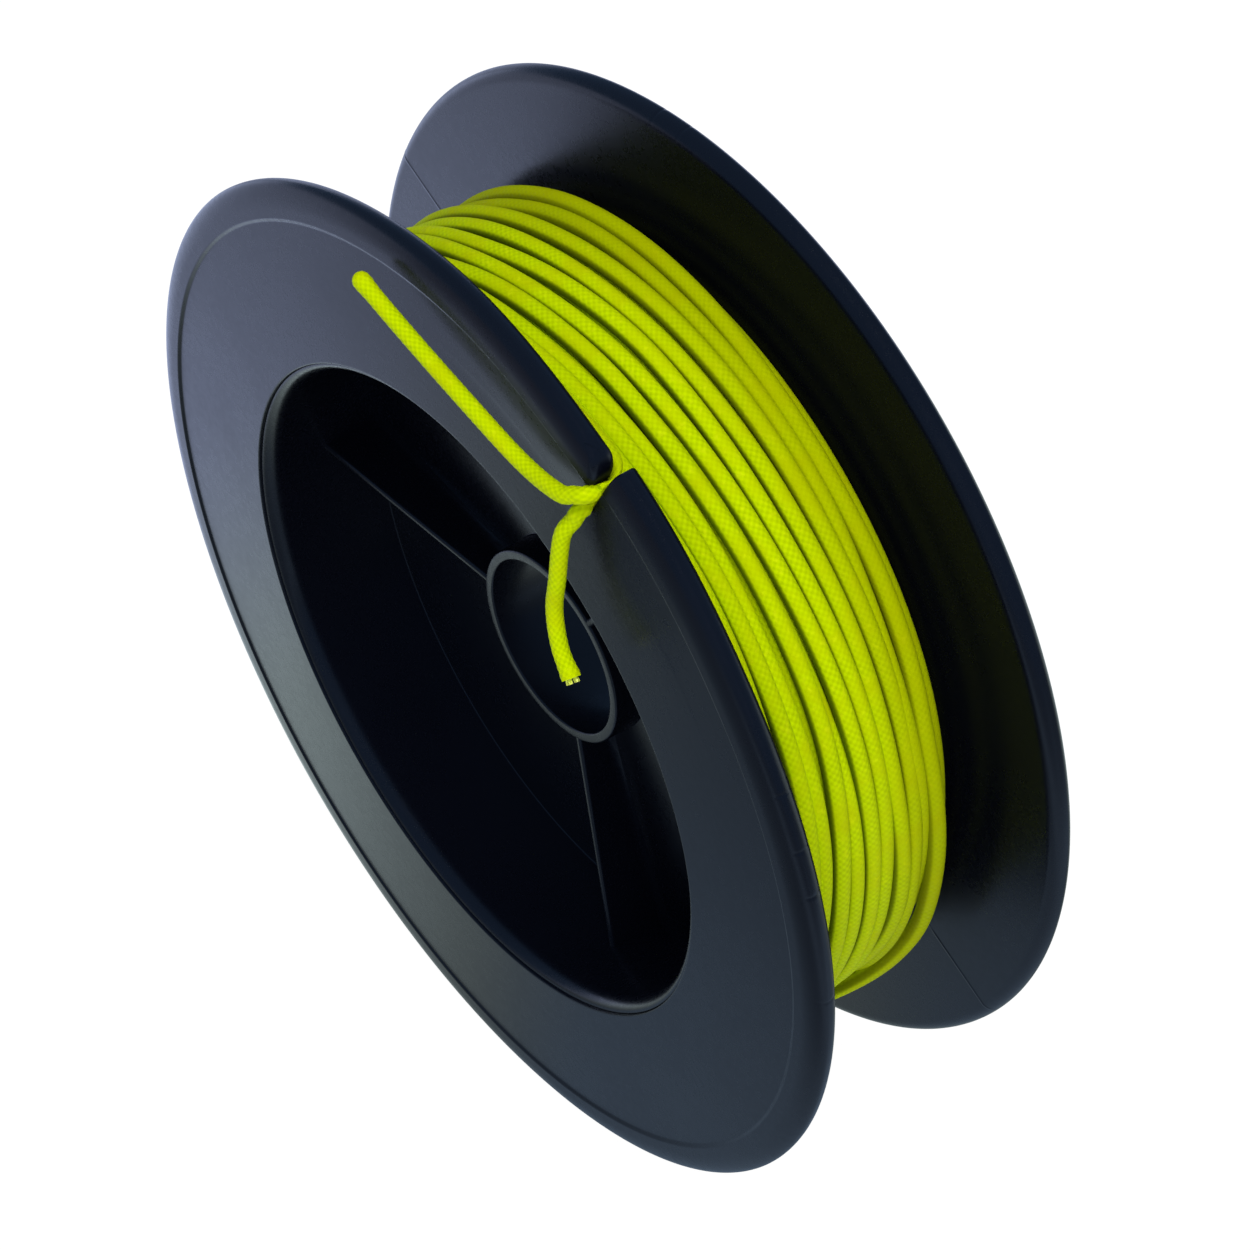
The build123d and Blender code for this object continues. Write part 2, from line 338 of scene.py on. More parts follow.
def braid(name, bright, valley_shade, warm, wound):
    """Braided synthetic line: bumps where strands cross, painted shade in between, slightly fuzzy. Glossy
    rays see it near-black, a painted dim reflection.

    Wound line also gets painted shade along the two sides where it lies against its neighbours, and darker
    olive painted shade towards the rear flange.
    """
    nodes = Nodes(name)
    place = nodes.add("ShaderNodeTexCoord").outputs["Object"]
    around_and_along = nodes.add("ShaderNodeSeparateXYZ")
    nodes.link(nodes.add("ShaderNodeTexCoord").outputs["UV"], around_and_along.inputs[0])
    around = nodes.math("MULTIPLY", around_and_along.outputs[0], STRANDS * TURN)
    along = nodes.math("MULTIPLY", around_and_along.outputs[1], TURN / BRAID_PITCH)
    bumps = nodes.math("MULTIPLY", nodes.math("COSINE", around), nodes.math("COSINE", along))
    fibre = nodes.noise(place, 4200.0, 2.0)
    patches = nodes.noise(place, 260.0, 3.0)
    specks = nodes.noise(place, 1500.0, 2.0)
    # Painted shade: where the weave is low, between strand crossings, the line takes the darker valley
    # colour.
    crest = nodes.spread(bumps, -1.0, 0.8, nodes.spread(patches, 0.4, 0.6, 0.68, 0.86), 1.0)
    colour = nodes.mix(crest, valley_shade, bright)
    colour = nodes.mix(nodes.spread(patches, 0.45, 0.75, 0.0, 0.55), colour, warm)
    colour = nodes.mix(nodes.spread(specks, 0.58, 0.72, 0.0, 0.3), colour, rgb(222, 232, 24))
    if wound:
        # Painted shade: each turn is darker green along its two sides, where it lies against its
        # neighbours.
        turned = nodes.math("MULTIPLY", around_and_along.outputs[0], TURN)
        sideways = nodes.math("ABSOLUTE", nodes.math("COSINE", turned))
        colour = nodes.mix(nodes.ramp(sideways, 0.78, 1.0, 0.0, 0.85), colour, rgb(36, 62, 0))
        # Painted shade: the wound line turns darker olive towards the rear flange.
        split = nodes.add("ShaderNodeSeparateXYZ")
        nodes.link(place, split.inputs[0])
        colour = nodes.mix(nodes.ramp(split.outputs[1], 0.0, 0.009, 0.0, 0.6), colour, rgb(138, 142, 0))
    normal = nodes.bump(bumps, 0.2, 0.06 * MM)
    normal = nodes.bump(fibre, 0.25, 0.03 * MM, normal)
    roughness = nodes.spread(specks, 0.3, 0.7, 0.62, 0.82)
    nodes.set(Base_Color=colour, Roughness=roughness, Normal=normal)
    nodes.set(Specular_IOR_Level=0.1, Specular_Tint=rgb(240, 255, 60))
    nodes.set(Sheen_Weight=0.05, Sheen_Roughness=0.6, Sheen_Tint=rgb(240, 255, 60))
    # Painted reflection: glossy rays see the line as a near-black diffuse, so the plastic mirrors it dimly,
    # as if in its own shade.
    dimmed_reflection = nodes.add("ShaderNodeBsdfDiffuse")
    dimmed_reflection.inputs["Color"].default_value = rgb(10, 14, 8)
    path = nodes.add("ShaderNodeLightPath")
    share = nodes.math("MULTIPLY", path.outputs["Is Glossy Ray"], 0.8)
    nodes.show(nodes.choose(nodes.shader.outputs[0], dimmed_reflection, share))
    return nodes.material


def yarn():
    """Straight core yarns: paler and a little shinier than the braid."""
    nodes = Nodes("core_yarn")
    place = nodes.add("ShaderNodeTexCoord").outputs["Object"]
    specks = nodes.noise(place, 2400.0, 3.0)
    colour = nodes.mix(nodes.spread(specks, 0.35, 0.7, 0.0, 1.0), rgb(190, 206, 30), rgb(232, 240, 130))
    nodes.set(Base_Color=colour, Roughness=nodes.spread(specks, 0.3, 0.7, 0.45, 0.65))
    nodes.set(Specular_IOR_Level=0.25, Normal=nodes.bump(specks, 0.3, 0.03 * MM))
    return nodes.material


def table_top():
    """Matte white card, seen almost evenly white. Glossy rays see a painted reflection instead: dim in
    front of and to the right of the spool, a painted shadow of it, brighter and bluish towards the back
    left, and in a band further right.
    """
    nodes = Nodes("pale_floor")
    place = nodes.add("ShaderNodeTexCoord").outputs["Object"]
    fleck = nodes.noise(place, 60.0)
    nodes.set(Base_Color=nodes.mix(fleck, rgb(246, 246, 246), rgb(252, 252, 252)), Roughness=0.9)
    nodes.set(Specular_IOR_Level=0.1)
    split = nodes.add("ShaderNodeSeparateXYZ")
    nodes.link(place, split.inputs[0])
    path = nodes.add("ShaderNodeLightPath")
    x, y = split.outputs[0], split.outputs[1]
    # Painted reflection and painted shadow: how bright and tinted the card looks where the plastic mirrors
    # it, dim near the spool's front right.
    back_left = nodes.math("SUBTRACT", y, x)
    left = nodes.ramp(back_left, -0.025, 0.055, 0.42, 1.6)
    left = nodes.math("MULTIPLY", left, nodes.ramp(y, -0.035, -0.075, 1.0, 0.55))
    left = nodes.math("MULTIPLY", left, nodes.ramp(y, 0.02, 0.07, 1.0, 0.6))
    right = nodes.ramp(x, 0.06, 0.12, 0.0, 0.6)
    right = nodes.math("MULTIPLY", right, nodes.ramp(x, 0.14, 0.3, 1.0, 0.2))
    painted_reflection_level = nodes.math("MAXIMUM", left, right)
    near_tint, middle_tint, left_tint = rgb(186, 215, 249), rgb(220, 240, 243), rgb(201, 215, 255)
    colour = nodes.mix(nodes.ramp(back_left, -0.035, -0.01, 0.0, 1.0), near_tint, middle_tint)
    colour = nodes.mix(nodes.ramp(x, -0.05, -0.11, 0.0, 1.0), colour, left_tint)
    mirrored = nodes.add("ShaderNodeEmission")
    nodes.link(colour, mirrored.inputs["Color"])
    nodes.link(painted_reflection_level, mirrored.inputs["Strength"])
    bright = nodes.add("ShaderNodeEmission")
    bright.inputs["Strength"].default_value = 1.08
    share = nodes.math("MULTIPLY", path.outputs["Is Camera Ray"], 0.9)
    first = nodes.choose(nodes.shader.outputs[0], bright, share)
    nodes.show(nodes.choose(first, mirrored, path.outputs["Is Glossy Ray"]))
    return nodes.material


# ======== Flanges ========
CLOSE_STEPS = 1.6
SHARP_CORNER = 35
NICK_DEPTH = 0.05
NICK_WIDTH = 0.16
MOULD_LINE_DEPTH = 0.05
MOULD_LINE_WIDTH = 0.12
MOULD_LINE_START = 45
# The slit's two sides differ: one corner is well rounded, and the lips stand sprung apart.
SLIT_CORNERS = (3.0, 0.8)
SLIT_EDGES = (0.7, 0.25)
LIP_LENGTH = 24
LIP_SPRUNG = (0.55, 0.45)


def flange_stations():
    """Distances from the axis at which a flange is measured, close together where it turns."""
    rim = FLANGE_RADIUS - RIM_ROUND + RIM_ROUND * np.sin(np.linspace(0, math.pi / 2, 18))
    step = np.linspace(BAND_RADIUS - 0.45, BAND_RADIUS + 0.2, 11)
    slit_foot = SLIT_END + SLIT_HALF * (1 - np.cos(np.linspace(0, math.pi / 2, 9)))
    bore_edge = SPIGOT_RADIUS + np.array([0, 0.04, 0.1, 0.18, 0.3])
    plain = np.arange(SPIGOT_RADIUS + 1, BAND_RADIUS - 0.5, 0.8)
    return np.unique(np.concatenate([bore_edge, plain, slit_foot, step, rim]).round(4))


def flange_heights(radius):
    """Distance of a flange's outer and inner side from the middle of the spool."""
    past_round = np.clip((radius - FLANGE_RADIUS + RIM_ROUND) / RIM_ROUND, 0, 1)
    past_back = np.clip((radius - FLANGE_RADIUS + RIM_BACK_ROUND) / RIM_BACK_ROUND, 0, 1)
    band = FACE_RECESS * smooth(radius, BAND_RADIUS - 0.4, BAND_RADIUS + 0.1)
    outer_fall = (HALF_WIDTH - RIM_APEX) * (1 - np.sqrt(1 - past_round**2))
    inner_rise = (RIM_APEX - INNER_PLANE) * (1 - np.sqrt(1 - past_back**2))
    outer = FACE_PLANE + band - outer_fall - quarter_round(radius - SPIGOT_RADIUS, 0.15)
    return outer, INNER_PLANE + inner_rise


def slit_side(radius, corner):
    """Distance from the slit's middle to one side of it, widening round its outer corner."""
    end = np.clip((radius - SLIT_END) / SLIT_HALF, 0, 1)
    near = np.clip((radius - FLANGE_RADIUS + corner) / corner, 0, 1)
    return SLIT_HALF * np.sqrt(1 - (1 - end) ** 2) + corner * (1 - np.sqrt(1 - near**2))


def angle_steps(marks):
    """Shares of a full turn from 0 to 1, with closer steps about each mark."""
    fine = np.linspace(-CLOSE_STEPS, CLOSE_STEPS, 25) / (TURN * FLANGE_RADIUS)
    close = [mark + fine for mark in marks]
    steps = np.concatenate([np.linspace(0, 1, 481)] + close)
    return np.unique(steps[(steps >= 0) & (steps <= 1)].round(7))


def flange(name, side, slit, nicks, mould_lines):
    """A turned flange on side -1 or +1. Nicks and mould lines are angles in degrees."""
    radius = flange_stations()
    start = SLIT_ANGLE if slit else 0.0
    marks = [((math.radians(a) - start) / TURN) % 1 for a in nicks + mould_lines]
    share = angle_steps(marks + ([0.0, 1.0] if slit else []))
    if not slit:
        share = share[:-1]
    outer, inner = flange_heights(radius)
    levels = np.concatenate([outer, inner[::-1]])[:, None]
    radii = np.concatenate([radius, radius[::-1]])[:, None]
    facing = np.where(np.arange(2 * len(radius)) < len(radius), 1.0, -1.0)[:, None]
    left = slit_side(radii, SLIT_CORNERS[0]) if slit else 0 * radii
    right = slit_side(radii, SLIT_CORNERS[1]) if slit else 0 * radii
    angle = start + left / radii + share * (TURN - (left + right) / radii)
    height = levels + 0 * angle
    if slit:
        beside = smooth(radii, SLIT_END, SLIT_END + SLIT_HALF)
        from_left = share * TURN * radii
        from_right = (1 - share) * TURN * radii
        rounding = quarter_round(from_left, SLIT_EDGES[0]) + quarter_round(from_right, SLIT_EDGES[1])
        height -= facing * beside * rounding
        freed = smooth(radii, SLIT_END - 3, FLANGE_RADIUS)
        height += LIP_SPRUNG[0] * freed * (1 - smooth(from_left, 0, LIP_LENGTH))
        height -= LIP_SPRUNG[1] * freed * (1 - smooth(from_right, 0, LIP_LENGTH))
    dented = radii + 0 * angle
    at_rim = smooth(radii, FLANGE_RADIUS - 1.2, FLANGE_RADIUS - 0.1)
    for nick in nicks:
        away = (angle - math.radians(nick) + math.pi) % TURN - math.pi
        dented = dented - NICK_DEPTH * at_rim * np.exp(-((away * radii / NICK_WIDTH) ** 2))
    for line in mould_lines:
        away = (angle - math.radians(line) + math.pi) % TURN - math.pi
        shown = smooth(radii, MOULD_LINE_START, MOULD_LINE_START + 1) * (facing < 0)
        height -= MOULD_LINE_DEPTH * shown * np.exp(-((away * radii / MOULD_LINE_WIDTH) ** 2))
    points = np.stack([dented * np.cos(angle), side * height, dented * np.sin(angle)], axis=-1)
    rows, columns = angle.shape
    quads, _, _ = grid_quads(rows, columns, close_rows=True, close_columns=not slit)
    if slit:
        quads = np.concatenate([quads, slit_walls(radius, columns)])
    piece = make_object(f"moulded_{name}", points.reshape(-1, 3), quads, plastic)
    weld(piece)
    piece.data.set_sharp_from_angle(angle=math.radians(SHARP_CORNER))
    return finish_piece(piece, "spool", "spool_plastic", name)


def slit_walls(radius, columns):
    """Quads down the slit's two sides, between a flange's outer and inner surface."""
    walls = []
    count = len(radius)
    for station in range(count - 1):
        if radius[station] < SLIT_END - 1e-4:
            continue
        outer, outer_next = station, station + 1
        inner, inner_next = 2 * count - 1 - station, 2 * count - 2 - station
        for column in (0, columns - 1):
            walls.append([row * columns + column for row in (outer, outer_next, inner_next, inner)])
    return np.array(walls)


def weld(piece):
    """Joins vertices that coincide and makes every face point outwards."""
    shape = bmesh.new()
    shape.from_mesh(piece.data)
    bmesh.ops.remove_doubles(shape, verts=shape.verts, dist=1e-7)
    bmesh.ops.recalc_face_normals(shape, faces=shape.faces)
    shape.to_mesh(piece.data)
    shape.free()


# ======== Core ========
def arc(centre, size, start, end, steps=7):
    """Points along an elliptical arc, in radius and height, with angles in degrees."""
    turn = np.radians(np.linspace(start, end, steps))
    return np.stack([centre[0] + size[0] * np.cos(turn), centre[1] + size[1] * np.sin(turn)], axis=1)


def core_section():
    """Closed section of the core: hub tube, web across the middle, barrel wall and lips."""
    edge = 0.25
    fillet = 0.15
    lip_depth = 2.0
    lip_round = 0.12
    seat_gap = 0.03
    spigot = SPIGOT_RADIUS - seat_gap
    lip_edge = spigot - lip_round
    shoulder = INNER_PLANE - seat_gap
    half = np.concatenate(
        [
            arc((BORE_RADIUS + edge, TUBE_HALF - edge), (edge, edge), 180, 90),
            arc((TUBE_RADIUS - edge, TUBE_HALF - edge), (edge, edge), 90, 0),
            arc((TUBE_RADIUS + fillet, WEB_HALF + fillet), (fillet, fillet), 180, 270),
            arc((BORE_WALL_RADIUS - fillet, WEB_HALF + fillet), (fillet, fillet), 270, 360),
            arc((lip_edge, CORE_END - lip_depth), (lip_edge - BORE_WALL_RADIUS, lip_depth), 180, 90, 15),
            arc((lip_edge, CORE_END - lip_round), (lip_round, lip_round), 90, 0, 5),
            [(spigot, shoulder), (BARREL_RADIUS, shoulder)],
        ]
    )
    mirrored = half[::-1] * [1, -1]
    return np.concatenate([half, mirrored])


def turned(name, section, steps, material):
    """A closed section, in radius and height, turned about Y."""
    angle = np.linspace(0, TURN, steps, endpoint=False)
    radius = section[:, :1]
    points = np.stack([radius * np.cos(angle), section[:, 1:] + 0 * angle, radius * np.sin(angle)], axis=-1)
    quads, _, _ = grid_quads(len(section), steps, close_rows=True, close_columns=True)
    piece = make_object(name, points.reshape(-1, 3), quads, material)
    weld(piece)
    piece.data.set_sharp_from_angle(angle=math.radians(SHARP_CORNER))
    return piece


def rib(name, angle):
    """A thin rib from the hub tube to the barrel, thicker at the web, with rounded crests."""
    rise = 3.4
    half_thickness = 0.42
    taper = 0.1
    foot_round = 0.7
    crest_round = 0.3
    thinnest = 0.02
    radius = np.linspace(TUBE_RADIUS - 0.5, BORE_WALL_RADIUS + 0.4, 14)[:, None]
    crest = TUBE_HALF + rise * (radius - TUBE_RADIUS) / (BORE_WALL_RADIUS - TUBE_RADIUS)
    near_crest = 1 - 0.2 * np.cos(np.linspace(0, math.pi / 2, 8)) ** 3
    level = np.unique(np.concatenate([np.linspace(0, 0.8, 9), near_crest, [0.9, 0.95, 0.98, 1.0]]))
    height = level * crest
    foot = quarter_round(np.abs(height) - WEB_HALF, foot_round)
    crown = quarter_round(crest - height, crest_round)
    half = half_thickness + taper * (1 - level) + foot - np.minimum(crown, half_thickness - thinnest)
    loop_height = np.concatenate([height, height[:, ::-1], -height, -height[:, ::-1]], axis=1)
    loop_half = np.concatenate([half, -half[:, ::-1], -half, half[:, ::-1]], axis=1)
    across = np.array([math.cos(angle), 0, math.sin(angle)])
    beside = np.array([-math.sin(angle), 0, math.cos(angle)])
    points = radius[..., None] * across + loop_half[..., None] * beside
    points = points + loop_height[..., None] * np.array([0, 1, 0])
    rows, columns = loop_half.shape
    quads, _, _ = grid_quads(rows, columns, close_columns=True)
    piece = make_object(name, points.reshape(-1, 3), quads, plastic)
    weld(piece)
    return finish_piece(piece, "spool", "spool_plastic")


# ======== Line ========
SHARP_END = 60


def spline(points, spacing):
    """Evenly spaced points along a smooth curve through the given points."""
    points = np.array(points, float)
    ends = np.array([2 * points[0] - points[1], 2 * points[-1] - points[-2]])
    padded = np.concatenate([ends[:1], points, ends[1:]])
    dense = []
    for first, second, third, fourth in zip(padded, padded[1:], padded[2:], padded[3:]):
        step = np.linspace(0, 1, 60, endpoint=False)[:, None]
        slope_in, slope_out = (third - first) / 2, (fourth - second) / 2
        dense.append(
            (2 * step**3 - 3 * step**2 + 1) * second
            + (step**3 - 2 * step**2 + step) * slope_in
            + (3 * step**2 - 2 * step**3) * third
            + (step**3 - step**2) * slope_out
        )
    dense = np.concatenate(dense + [points[-1:]])
    length = along_curve(dense)
    wanted = np.linspace(0, length[-1], max(2, int(length[-1] / spacing)))
    return np.stack([np.interp(wanted, length, dense[:, axis]) for axis in range(3)], axis=1)


def along_curve(points):
    """Distance along a run of points, from its first."""
    gaps = np.linalg.norm(np.diff(points, axis=0), axis=1)
    return np.concatenate([[0], np.cumsum(gaps)])


def unit(vectors):
    return vectors / np.linalg.norm(vectors, axis=-1, keepdims=True)


def level_frames(centre):
    """A side vector as near +Y as the curve allows, and its partner, at each point."""
    forward = unit(np.gradient(centre, axis=0))
    side = unit(np.array([0.0, 1.0, 0.0]) - forward * forward[:, 1:2])
    return side, np.cross(forward, side)


def carried_frames(centre, sideways):
    """A side vector and its partner at each point, carried along without twisting."""
    forward = unit(np.gradient(centre, axis=0))
    side = np.empty_like(centre)
    current = np.array(sideways, float)
    for index, direction in enumerate(forward):
        current = current - direction * (current @ direction)
        current = current / np.linalg.norm(current)
        side[index] = current
    return side, np.cross(forward, side)


def weave(around, along):
    """Height, -1 to 1, of a braid of two crossing sets of strands."""
    first = STRANDS * around + along / BRAID_PITCH
    second = STRANDS * around - along / BRAID_PITCH
    ridge_first = np.sqrt(1 - 0.9 * (2 * (first - np.round(first))) ** 2)
    ridge_second = np.sqrt(1 - 0.9 * (2 * (second - np.round(second))) ** 2)
    over = np.cos(math.pi * (second - np.round(first)))
    under = -np.cos(math.pi * (first - np.round(second)))
    return np.maximum(ridge_first + over, ridge_second + under) - 1


def cord(name, centre, material, sides, width, depth, relief=0.0, sideways=None, begin=0.0):
    """Line swept along centre, with its half width and half depth at each point.

    Relief is the height of the braid as a share of the radius, and begin sets its phase.
    The width starts out along sideways; left out, it stays as near Y as it can.
    """
    side, partner = level_frames(centre) if sideways is None else carried_frames(centre, sideways)
    around = np.linspace(0, 1, sides, endpoint=False)[None, :]
    along = begin + along_curve(centre)[:, None]
    radius = 1 + relief * (weave(around, along) if relief else 0.0)
    across = radius * np.cos(TURN * around) * np.reshape(width, (-1, 1))
    upward = radius * np.sin(TURN * around) * np.reshape(depth, (-1, 1))
    points = centre[:, None] + across[..., None] * side[:, None] + upward[..., None] * partner[:, None]
    quads, corner_rows, corner_columns = grid_quads(len(centre), sides, close_columns=True)
    uv = np.stack([corner_columns / sides, along[:, 0][corner_rows]], axis=-1)
    piece = make_object(name, points.reshape(-1, 3), quads, material, uv.reshape(-1, 2))
    close_ends(piece)
    piece.data.set_sharp_from_angle(angle=math.radians(SHARP_END))
    return piece


def close_ends(piece):
    """Fills the two open ends of a swept mesh."""
    shape = bmesh.new()
    shape.from_mesh(piece.data)
    bmesh.ops.holes_fill(shape, edges=[edge for edge in shape.edges if edge.is_boundary], sides=0)
    bmesh.ops.recalc_face_normals(shape, faces=shape.faces)
    shape.to_mesh(piece.data)
    shape.free()


def ease(values, window):
    """A run of values averaged over a window to either side."""
    kernel = np.hanning(2 * window + 3)[1:-1]
    padded = np.pad(values, window, mode="edge")
    return np.convolve(padded, kernel / kernel.sum(), mode="valid")


def slow_noise(count, steps, size):
    """A smooth random wobble, changing a few times in each turn of the line."""
    rough = random.normal(0, 1, count)
    calm = ease(rough, steps // 12)
    return size * calm / calm.std()


def inner_layer(index, steps):
    """Place along Y and distance from the axis of one covered layer, wound side to side."""
    turn = np.arange(TURNS * steps) / steps
    low = reach(f"line_layer_{index + 1}", 0, 1) + LINE_RADIUS
    high = reach(f"line_layer_{index + 1}", 1, 1) - LINE_RADIUS
    settled = np.floor(turn) + smooth(turn % 1, 0.5, 0.9)
    axial = low + (high - low) * np.minimum(settled / (TURNS - 1), 1)
    axial = np.clip(axial + slow_noise(len(turn), steps, 0.12), low, high)
    radial = BARREL_RADIUS + LINE_RADIUS + index * LAYER_STEP + slow_noise(len(turn), steps, 0.05)
    return TURN * turn, axial, radial


def outer_layer(steps):
    """The same for the outer layer, whose turns wander, sink and cross."""
    run = []
    for number, places in enumerate(OUTER_TURNS):
        lifts = OUTER_LIFTS.get(number, (0,) * len(places))
        turn = zip(OUTER_ANGLES, places, lifts)
        run += [(number * 360 - angle, place, lift) for angle, place, lift in turn]
    whole_turns = (len(OUTER_TURNS) - 1) * 360
    run += [(whole_turns - angle, place, lift) for angle, place, lift in CROSSING]
    angles, places, lifts = zip(*run)
    angle = np.arange(angles[0], angles[-1], 360 / steps)
    axial = ease(np.interp(angle, angles, places), steps // 60)
    lift = ease(np.interp(angle, angles, lifts), steps // 60)
    nearest = OUTER_LINE_RADIUS + LINE_GAP - INNER_PLANE
    axial = np.maximum(axial + slow_noise(len(angle), steps, 0.2), nearest)
    radial = WOUND_RADIUS - OUTER_LINE_RADIUS + lift + slow_noise(len(angle), steps, 0.17)
    return -np.radians(angle), axial, radial


def wound_layer(index, steps):
    """One layer of turns as a single run of braided line."""
    is_outer = index == LAYERS - 1
    angle, axial, radial = outer_layer(steps) if is_outer else inner_layer(index, steps)
    skip = 1 if index >= LAYERS - 2 else 4
    centre = np.stack([radial * np.cos(angle), axial, radial * np.sin(angle)], axis=1)[::skip]
    name = f"line_layer_{index + 1}"
    size = OUTER_LINE_RADIUS if is_outer else LINE_RADIUS
    sides = 20 if index >= LAYERS - 2 else 10
    piece = cord(f"wound_turns_{index + 1}", centre, wound_material, sides, size, size)
    return finish_piece(piece, "spool", "braided_line", name)


# ======== Build ========
# Places round the spool, in degrees.
REAR_NICKS = [97.0, 93.0]
FRONT_NICKS = [31.0, 25.0, 20.0, 7.0]
RIBS = 3
FIRST_RIB = 54
plastic = moulded_plastic()
# The line's colour, the painted shade in the valleys of its braid, and a warmer tone for patches.
line_colours = (rgb(190, 216, 0), rgb(88, 120, 0), rgb(176, 180, 0))
line_material = braid("braided_line", *line_colours, wound=False)
wound_material = braid("wound_braided_line", *line_colours, wound=True)
yarn_material = yarn()

slit_degrees = math.degrees(SLIT_ANGLE)
flange("rear_flange", 1, False, REAR_NICKS, [slit_degrees + 90, slit_degrees - 90])
flange("front_flange", -1, True, FRONT_NICKS, [])
finish_piece(turned("moulded_core", core_section(), 288, plastic), "spool", "spool_plastic", "core")
for number in range(RIBS):
    rib(f"core_rib_{number + 1}", math.radians(FIRST_RIB + 360 / RIBS * number))

for number in range(LAYERS):
    wound_layer(number, 720)


# ======== Leads and free ends ========
RELIEF = 0.035
TAIL_SIDES = 48
BURIED_END = 2.6
# How far before the lifting hinge a free end's bend piece stops and its tail starts.
JOIN_START = 1.4
ACROSS_SLIT = (-math.sin(SLIT_ANGLE), 0, math.cos(SLIT_ANGLE))


def on_face(radius, angle, height):
    """A point off the front face, at a distance and angle about the axis."""
    return np.array([radius * math.cos(angle), -FACE_PLANE - height, radius * math.sin(angle)])


def lead(side, exit_point, begin_turn, begin_depth):
    """Line squeezed in the slit, running down from it onto the pack and under its top turns."""
    exit_radius = math.hypot(exit_point[0], exit_point[2])
    climb = exit_radius - WOUND_RADIUS

    def at(turn_share, climb_share, height):
        return on_face(WOUND_RADIUS + climb * climb_share, SLIT_ANGLE + begin_turn * turn_share, height)

    path = spline(
        [
            at(0, 1, -0.15),
            at(0, 1, -1.8),
            at(0.08, 0.85, -3.7),
            at(0.36, 0.36, -begin_depth + 1.5),
            at(0.7, 0.1, -begin_depth + 0.5),
            at(1, -0.15, -begin_depth),
            at(1.3, -BURIED_END / climb, -begin_depth),
        ],
        0.12,
    )
    squeeze = smooth(-FACE_PLANE - path[:, 1], -3.6, -2.4)
    width = TAIL_RADIUS - (TAIL_RADIUS - SLIT_HALF) * squeeze
    spread = TAIL_RADIUS * (1 + 0.35 * squeeze)
    piece = cord(f"braided_{side}_lead", path, line_material, 32, width, spread, RELIEF, ACROSS_SLIT)
    return finish_piece(piece, "spool", "braided_line", f"{side}_lead")


def free_end(side, points, exit_height):
    """One free end of the line: a bend out of the slit, and a tail that lifts beyond it."""
    sweep, lift = pivot(f"{side}_tail_sweep"), pivot(f"{side}_tail_lift")
    heading = unit(lift - sweep)
    flat = unit(heading * [1, 0, 1])
    exit_radius = math.hypot(sweep[0], sweep[2])
    start = on_face(exit_radius, SLIT_ANGLE, -1.2)
    rise = on_face(exit_radius, SLIT_ANGLE, 0.1) + 0.08 * flat
    turn = on_face(exit_radius, SLIT_ANGLE, 0.72 * exit_height) + 0.45 * flat
    over = on_face(exit_radius, SLIT_ANGLE, exit_height) + 1.35 * flat
    path = spline([start, rise, turn, over, lift] + points, 0.1)
    to_lift = (path - lift) @ heading
    cut = int(np.argmax(to_lift > -JOIN_START))
    length = along_curve(path)
    pinched = 1 - smooth(-FACE_PLANE - path[: cut + 1, 1], -0.6, 0.3)
    size = TAIL_RADIUS - (TAIL_RADIUS - SLIT_HALF + 0.03) * pinched
    frames = carried_frames(path, ACROSS_SLIT)
    name = f"braided_{side}_bend"
    bend = cord(name, path[: cut + 1], line_material, TAIL_SIDES, size, size, RELIEF, ACROSS_SLIT)
    finish_piece(bend, f"{side}_bend", "braided_line", f"{side}_tail_bend")
    tail_path, tail_length = path[cut:], length[cut:]
    shape = TAIL_RADIUS * END_SHAPES[side](tail_length[-1] - tail_length)
    name = f"braided_{side}_tail"
    across, begin = frames[0][cut], length[cut]
    tail = cord(name, tail_path, line_material, TAIL_SIDES, shape, shape, RELIEF, across, begin)
    bend_with_joint(tail)
    finish_piece(tail, None, "braided_line", f"{side}_tail_sheath")
    return tail_path


def bend_with_joint(piece):
    """Bakes a free end's placement into its mesh."""
    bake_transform(piece)


def sealed_end(to_end):
    """Section scale near an end melted into a blunt, slightly swollen tip."""
    swollen = 1 + 0.1 * np.exp(-(((to_end - 1.2) / 0.9) ** 2))
    return swollen * np.sqrt(np.clip(1 - np.clip(1 - to_end / 0.8, 0, 1) ** 2, 0.01, 1))


def cut_end(to_end):
    """Section scale near a cut end, where the braid opens a little."""
    return 1 + 0.16 * np.exp(-((to_end / 1.1) ** 2))


END_SHAPES = {"long": sealed_end, "short": cut_end}

long_exit, short_exit = pivot("long_tail_sweep"), pivot("short_tail_sweep")
lead("long", long_exit, math.radians(38), 6.6)
lead("short", short_exit, math.radians(-26), 6.2)


def above_face(x, height, z):
    """A point off the front face, from its place across and up and its height off the face."""
    return np.array([x, -FACE_PLANE - height, z])


long_points = [
    above_face(14.3, 1.8, 45.0),
    above_face(6.0, 2.1, 46.8),
    above_face(-3.0, 2.3, 48.9),
    above_face(-9.6, 2.6, 51.0),
]
short_points = [
    above_face(20.8, 2.9, 36.1),
    above_face(20.8, 3.3, 32.3),
    above_face(22.2, 3.8, 28.9),
    above_face(24.4, 4.2, 26.9),
]
long_tail = free_end("long", long_points, 1.45)
short_tail = free_end("short", short_points, 1.25)


